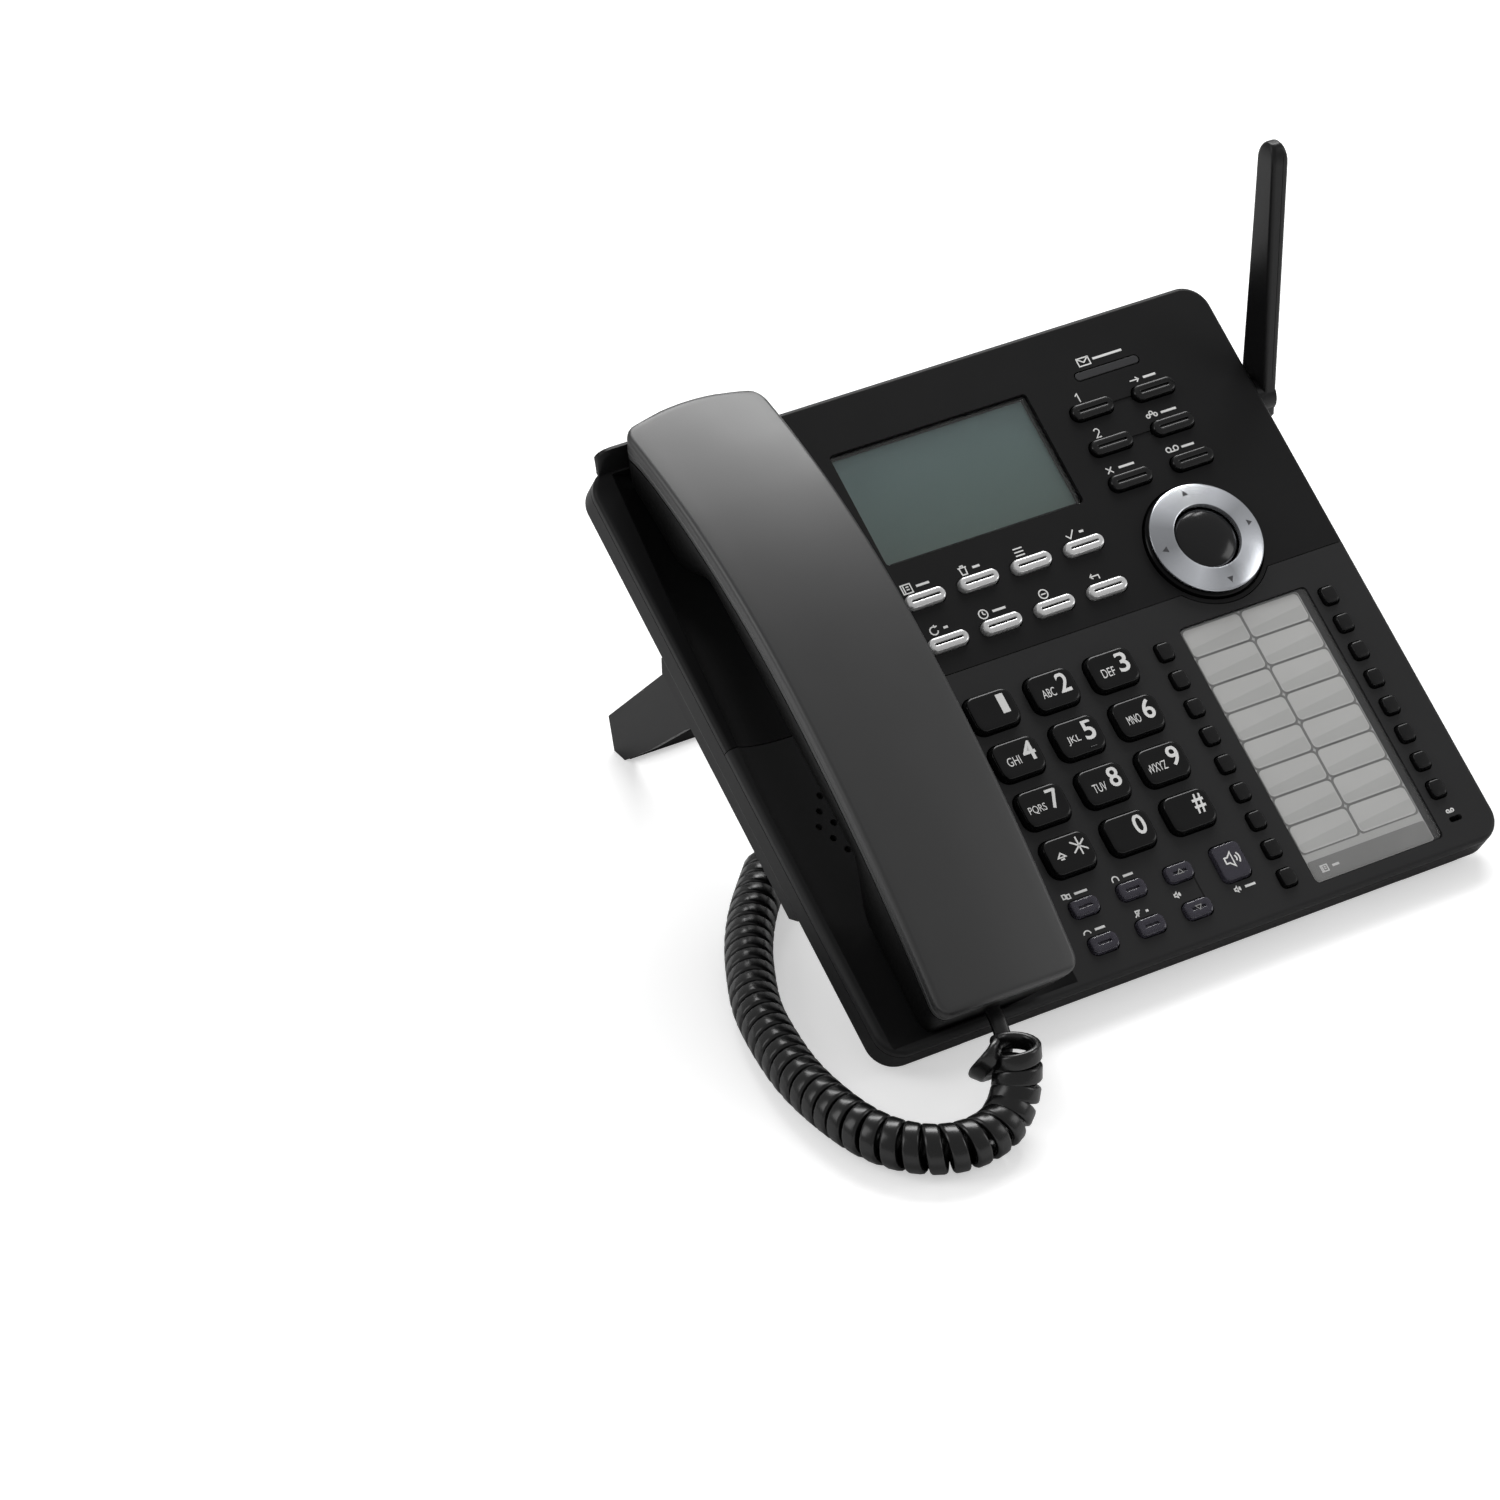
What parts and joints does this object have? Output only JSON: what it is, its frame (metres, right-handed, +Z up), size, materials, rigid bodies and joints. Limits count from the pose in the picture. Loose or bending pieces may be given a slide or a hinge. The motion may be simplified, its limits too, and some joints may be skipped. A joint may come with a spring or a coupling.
{
  "type": "desk telephone",
  "caption": "Desk telephone with a corded handset in a cradle, curly cord, dial and memory keys, display, navigation ring, folding radio antenna and a slanted desk stand.",
  "frame": {"origin": "on the table under the middle of the phone's box, the cord left out", "axes": "+X to the user's right along the front panel, +Y to the back, +Z up"},
  "size_m": [0.2542, 0.24, 0.1776],
  "materials": {
    "antenna_plastic": "satin black",
    "board_laminate": "green laminate",
    "bottom_case_plastic": "matt black",
    "capsule_steel": "plain",
    "chrome_finish": "bright plated",
    "cord_plastic": "smooth black",
    "dial_key_plastic": "smooth black with white print",
    "display_lens_plastic": "clear window",
    "display_module_glass": "grey-green liquid crystal",
    "foot_rubber": "matt dark grey",
    "function_key_plastic": "smooth black",
    "gloss_black_plastic": "high gloss black",
    "handset_plastic": "satin black",
    "hook_plastic": "black",
    "keypad_rubber": "matt grey",
    "lamp_plastic": "smoke grey light pipe",
    "list_card_paper": "printed card",
    "list_cover_plastic": "clear sheet",
    "loudspeaker_parts": "brown cone in a frame",
    "lower_panel_plastic": "matt dark grey, finely grained",
    "memory_key_plastic": "satin black",
    "navigation_skirt_plastic": "smooth black",
    "plug_plastic": "clear smoke",
    "silver_key_finish": "silver metallic coat",
    "smoke_clear_plastic": "smoke tinted and clear",
    "stand_plastic": "matt black",
    "upper_panel_plastic": "satin black, finely grained"
  },
  "bodies": {
    "base": {"bottom_case": "bottom_case_plastic", "cord_plug": "plug_plastic", "curly_cord": "cord_plastic", "desk_stand": "stand_plastic", "display_lens": "display_lens_plastic", "display_module": "display_module_glass", "front_foot_left": "foot_rubber", "front_foot_right": "foot_rubber", "keypad_mat": "keypad_rubber", "list_card": "list_card_paper", "list_cover": "list_cover_plastic", "loudspeaker": "loudspeaker_parts", "lower_panel": "lower_panel_plastic", "main_board": "board_laminate", "message_lamp": "lamp_plastic", "upper_panel": "upper_panel_plastic"},
    "handset": {"handset_cover": "handset_plastic", "handset_body": "handset_plastic", "handset_receiver": "capsule_steel", "handset_microphone": "capsule_steel"},
    "hook_switch_body": {"hook_switch": "hook_plastic"},
    "antenna_body": {"antenna": "antenna_plastic"},
    "nav_rocker_body": {"nav_rocker": "navigation_skirt_plastic"},
    "nav_ring_body": {"nav_ring": "chrome_finish"},
    "nav_button_body": {"nav_button": "gloss_black_plastic"},
    "clear_key_lower_1_body": {"clear_key_lower_1": "smoke_clear_plastic"},
    "clear_key_lower_2_body": {"clear_key_lower_2": "smoke_clear_plastic"},
    "clear_key_lower_3_body": {"clear_key_lower_3": "smoke_clear_plastic"},
    "clear_key_upper_1_body": {"clear_key_upper_1": "smoke_clear_plastic"},
    "clear_key_upper_2_body": {"clear_key_upper_2": "smoke_clear_plastic"},
    "clear_key_upper_3_body": {"clear_key_upper_3": "smoke_clear_plastic"},
    "dial_key_0_body": {"dial_key_0": "dial_key_plastic"},
    "dial_key_1_body": {"dial_key_1": "dial_key_plastic"},
    "dial_key_2_body": {"dial_key_2": "dial_key_plastic"},
    "dial_key_3_body": {"dial_key_3": "dial_key_plastic"},
    "dial_key_4_body": {"dial_key_4": "dial_key_plastic"},
    "dial_key_5_body": {"dial_key_5": "dial_key_plastic"},
    "dial_key_6_body": {"dial_key_6": "dial_key_plastic"},
    "dial_key_7_body": {"dial_key_7": "dial_key_plastic"},
    "dial_key_8_body": {"dial_key_8": "dial_key_plastic"},
    "dial_key_9_body": {"dial_key_9": "dial_key_plastic"},
    "dial_key_hash_body": {"dial_key_hash": "dial_key_plastic"},
    "dial_key_star_body": {"dial_key_star": "dial_key_plastic"},
    "function_key_1_left_body": {"function_key_1_left": "function_key_plastic"},
    "function_key_1_right_body": {"function_key_1_right": "function_key_plastic"},
    "function_key_2_left_body": {"function_key_2_left": "function_key_plastic"},
    "function_key_2_right_body": {"function_key_2_right": "function_key_plastic"},
    "function_key_3_left_body": {"function_key_3_left": "function_key_plastic"},
    "function_key_3_right_body": {"function_key_3_right": "function_key_plastic"},
    "memory_keys_left_body": {"memory_keys_left": "memory_key_plastic"},
    "memory_keys_right_body": {"memory_keys_right": "memory_key_plastic"},
    "soft_key_lower_1_body": {"soft_key_lower_1": "silver_key_finish"},
    "soft_key_lower_2_body": {"soft_key_lower_2": "silver_key_finish"},
    "soft_key_lower_3_body": {"soft_key_lower_3": "silver_key_finish"},
    "soft_key_lower_4_body": {"soft_key_lower_4": "silver_key_finish"},
    "soft_key_upper_1_body": {"soft_key_upper_1": "silver_key_finish"},
    "soft_key_upper_2_body": {"soft_key_upper_2": "silver_key_finish"},
    "soft_key_upper_3_body": {"soft_key_upper_3": "silver_key_finish"},
    "soft_key_upper_4_body": {"soft_key_upper_4": "silver_key_finish"},
    "speaker_key_body": {"speaker_key": "smoke_clear_plastic"}
  },
  "joints": [
    {"name": "clear_key_lower_1_press", "type": "slide", "parent": "base", "child": "clear_key_lower_1_body", "axis": [0, 0.5397, -0.8419], "range_m": [0, 0.001], "stiffness_N_per_m": 400, "springref_m": -0.0003},
    {"name": "clear_key_lower_2_press", "type": "slide", "parent": "base", "child": "clear_key_lower_2_body", "axis": [0, 0.5397, -0.8419], "range_m": [0, 0.001], "stiffness_N_per_m": 400, "springref_m": -0.0003},
    {"name": "clear_key_lower_3_press", "type": "slide", "parent": "base", "child": "clear_key_lower_3_body", "axis": [0, 0.5397, -0.8419], "range_m": [0, 0.001], "stiffness_N_per_m": 400, "springref_m": -0.0003},
    {"name": "clear_key_upper_1_press", "type": "slide", "parent": "base", "child": "clear_key_upper_1_body", "axis": [0, 0.5397, -0.8419], "range_m": [0, 0.001], "stiffness_N_per_m": 400, "springref_m": -0.0003},
    {"name": "clear_key_upper_2_press", "type": "slide", "parent": "base", "child": "clear_key_upper_2_body", "axis": [0, 0.5397, -0.8419], "range_m": [0, 0.001], "stiffness_N_per_m": 400, "springref_m": -0.0003},
    {"name": "clear_key_upper_3_press", "type": "slide", "parent": "base", "child": "clear_key_upper_3_body", "axis": [0, 0.5397, -0.8419], "range_m": [0, 0.001], "stiffness_N_per_m": 400, "springref_m": -0.0003},
    {"name": "dial_key_0_press", "type": "slide", "parent": "base", "child": "dial_key_0_body", "axis": [0, 0.5397, -0.8419], "range_m": [0, 0.001], "stiffness_N_per_m": 400, "springref_m": -0.0003},
    {"name": "dial_key_1_press", "type": "slide", "parent": "base", "child": "dial_key_1_body", "axis": [0, 0.5397, -0.8419], "range_m": [0, 0.001], "stiffness_N_per_m": 400, "springref_m": -0.0003},
    {"name": "dial_key_2_press", "type": "slide", "parent": "base", "child": "dial_key_2_body", "axis": [0, 0.5397, -0.8419], "range_m": [0, 0.001], "stiffness_N_per_m": 400, "springref_m": -0.0003},
    {"name": "dial_key_3_press", "type": "slide", "parent": "base", "child": "dial_key_3_body", "axis": [0, 0.5397, -0.8419], "range_m": [0, 0.001], "stiffness_N_per_m": 400, "springref_m": -0.0003},
    {"name": "dial_key_4_press", "type": "slide", "parent": "base", "child": "dial_key_4_body", "axis": [0, 0.5397, -0.8419], "range_m": [0, 0.001], "stiffness_N_per_m": 400, "springref_m": -0.0003},
    {"name": "dial_key_5_press", "type": "slide", "parent": "base", "child": "dial_key_5_body", "axis": [0, 0.5397, -0.8419], "range_m": [0, 0.001], "stiffness_N_per_m": 400, "springref_m": -0.0003},
    {"name": "dial_key_6_press", "type": "slide", "parent": "base", "child": "dial_key_6_body", "axis": [0, 0.5397, -0.8419], "range_m": [0, 0.001], "stiffness_N_per_m": 400, "springref_m": -0.0003},
    {"name": "dial_key_7_press", "type": "slide", "parent": "base", "child": "dial_key_7_body", "axis": [0, 0.5397, -0.8419], "range_m": [0, 0.001], "stiffness_N_per_m": 400, "springref_m": -0.0003},
    {"name": "dial_key_8_press", "type": "slide", "parent": "base", "child": "dial_key_8_body", "axis": [0, 0.5397, -0.8419], "range_m": [0, 0.001], "stiffness_N_per_m": 400, "springref_m": -0.0003},
    {"name": "dial_key_9_press", "type": "slide", "parent": "base", "child": "dial_key_9_body", "axis": [0, 0.5397, -0.8419], "range_m": [0, 0.001], "stiffness_N_per_m": 400, "springref_m": -0.0003},
    {"name": "dial_key_hash_press", "type": "slide", "parent": "base", "child": "dial_key_hash_body", "axis": [0, 0.5397, -0.8419], "range_m": [0, 0.001], "stiffness_N_per_m": 400, "springref_m": -0.0003},
    {"name": "dial_key_star_press", "type": "slide", "parent": "base", "child": "dial_key_star_body", "axis": [0, 0.5397, -0.8419], "range_m": [0, 0.001], "stiffness_N_per_m": 400, "springref_m": -0.0003},
    {"name": "function_key_1_left_press", "type": "slide", "parent": "base", "child": "function_key_1_left_body", "axis": [0, 0.5397, -0.8419], "range_m": [0, 0.001], "stiffness_N_per_m": 400, "springref_m": -0.0003},
    {"name": "function_key_1_right_press", "type": "slide", "parent": "base", "child": "function_key_1_right_body", "axis": [0, 0.5397, -0.8419], "range_m": [0, 0.001], "stiffness_N_per_m": 400, "springref_m": -0.0003},
    {"name": "function_key_2_left_press", "type": "slide", "parent": "base", "child": "function_key_2_left_body", "axis": [0, 0.5397, -0.8419], "range_m": [0, 0.001], "stiffness_N_per_m": 400, "springref_m": -0.0003},
    {"name": "function_key_2_right_press", "type": "slide", "parent": "base", "child": "function_key_2_right_body", "axis": [0, 0.5397, -0.8419], "range_m": [0, 0.001], "stiffness_N_per_m": 400, "springref_m": -0.0003},
    {"name": "function_key_3_left_press", "type": "slide", "parent": "base", "child": "function_key_3_left_body", "axis": [0, 0.5397, -0.8419], "range_m": [0, 0.001], "stiffness_N_per_m": 400, "springref_m": -0.0003},
    {"name": "function_key_3_right_press", "type": "slide", "parent": "base", "child": "function_key_3_right_body", "axis": [0, 0.5397, -0.8419], "range_m": [0, 0.001], "stiffness_N_per_m": 400, "springref_m": -0.0003},
    {"name": "memory_keys_left_press", "type": "slide", "parent": "base", "child": "memory_keys_left_body", "axis": [0, 0.5397, -0.8419], "range_m": [0, 0.0008], "stiffness_N_per_m": 800, "springref_m": -0.0003},
    {"name": "memory_keys_right_press", "type": "slide", "parent": "base", "child": "memory_keys_right_body", "axis": [0, 0.5397, -0.8419], "range_m": [0, 0.0008], "stiffness_N_per_m": 800, "springref_m": -0.0003},
    {"name": "soft_key_lower_1_press", "type": "slide", "parent": "base", "child": "soft_key_lower_1_body", "axis": [0, 0.5397, -0.8419], "range_m": [0, 0.001], "stiffness_N_per_m": 400, "springref_m": -0.0003},
    {"name": "soft_key_lower_2_press", "type": "slide", "parent": "base", "child": "soft_key_lower_2_body", "axis": [0, 0.5397, -0.8419], "range_m": [0, 0.001], "stiffness_N_per_m": 400, "springref_m": -0.0003},
    {"name": "soft_key_lower_3_press", "type": "slide", "parent": "base", "child": "soft_key_lower_3_body", "axis": [0, 0.5397, -0.8419], "range_m": [0, 0.001], "stiffness_N_per_m": 400, "springref_m": -0.0003},
    {"name": "soft_key_lower_4_press", "type": "slide", "parent": "base", "child": "soft_key_lower_4_body", "axis": [0, 0.5397, -0.8419], "range_m": [0, 0.001], "stiffness_N_per_m": 400, "springref_m": -0.0003},
    {"name": "soft_key_upper_1_press", "type": "slide", "parent": "base", "child": "soft_key_upper_1_body", "axis": [0, 0.5397, -0.8419], "range_m": [0, 0.001], "stiffness_N_per_m": 400, "springref_m": -0.0003},
    {"name": "soft_key_upper_2_press", "type": "slide", "parent": "base", "child": "soft_key_upper_2_body", "axis": [0, 0.5397, -0.8419], "range_m": [0, 0.001], "stiffness_N_per_m": 400, "springref_m": -0.0003},
    {"name": "soft_key_upper_3_press", "type": "slide", "parent": "base", "child": "soft_key_upper_3_body", "axis": [0, 0.5397, -0.8419], "range_m": [0, 0.001], "stiffness_N_per_m": 400, "springref_m": -0.0003},
    {"name": "soft_key_upper_4_press", "type": "slide", "parent": "base", "child": "soft_key_upper_4_body", "axis": [0, 0.5397, -0.8419], "range_m": [0, 0.001], "stiffness_N_per_m": 400, "springref_m": -0.0003},
    {"name": "speaker_key_press", "type": "slide", "parent": "base", "child": "speaker_key_body", "axis": [0, 0.5397, -0.8419], "range_m": [0, 0.001], "stiffness_N_per_m": 400, "springref_m": -0.0003},
    {"name": "nav_rocker_tilt", "type": "hinge", "parent": "base", "child": "nav_rocker_body", "pos_m": [0.0612, 0.0094, 0.07162], "axis": [1, 0, 0], "range_deg": [-2, 2], "stiffness_Nm_per_rad": 0.6},
    {"name": "nav_ring_tilt", "type": "hinge", "parent": "nav_rocker_body", "child": "nav_ring_body", "pos_m": [0.0612, 0.00659, 0.076], "axis": [0, 0.8419, 0.5397], "range_deg": [-2, 2], "stiffness_Nm_per_rad": 0.4},
    {"name": "nav_button_press", "type": "slide", "parent": "base", "child": "nav_button_body", "axis": [0, 0.5397, -0.8419], "range_m": [0, 0.0008], "stiffness_N_per_m": 500, "springref_m": -0.0003},
    {"name": "handset_lift", "type": "slide", "parent": "base", "child": "handset", "axis": [0, -0.5397, 0.8419], "range_m": [0, 0.08], "deforming": ["curly_cord"]},
    {"name": "hook_switch_rise", "type": "slide", "parent": "base", "child": "hook_switch_body", "axis": [0, -0.5397, 0.8419], "range_m": [0, 0.0015]},
    {"name": "antenna_fold", "type": "hinge", "parent": "base", "child": "antenna_body", "pos_m": [0.10465, 0.0474, 0.09064], "axis": [1, 0, 0], "range_deg": [-57, 122]}
  ],
  "couplings": [
    {"joint": "hook_switch_rise", "follows": "handset_lift", "ratio": 0.01875}
  ]
}
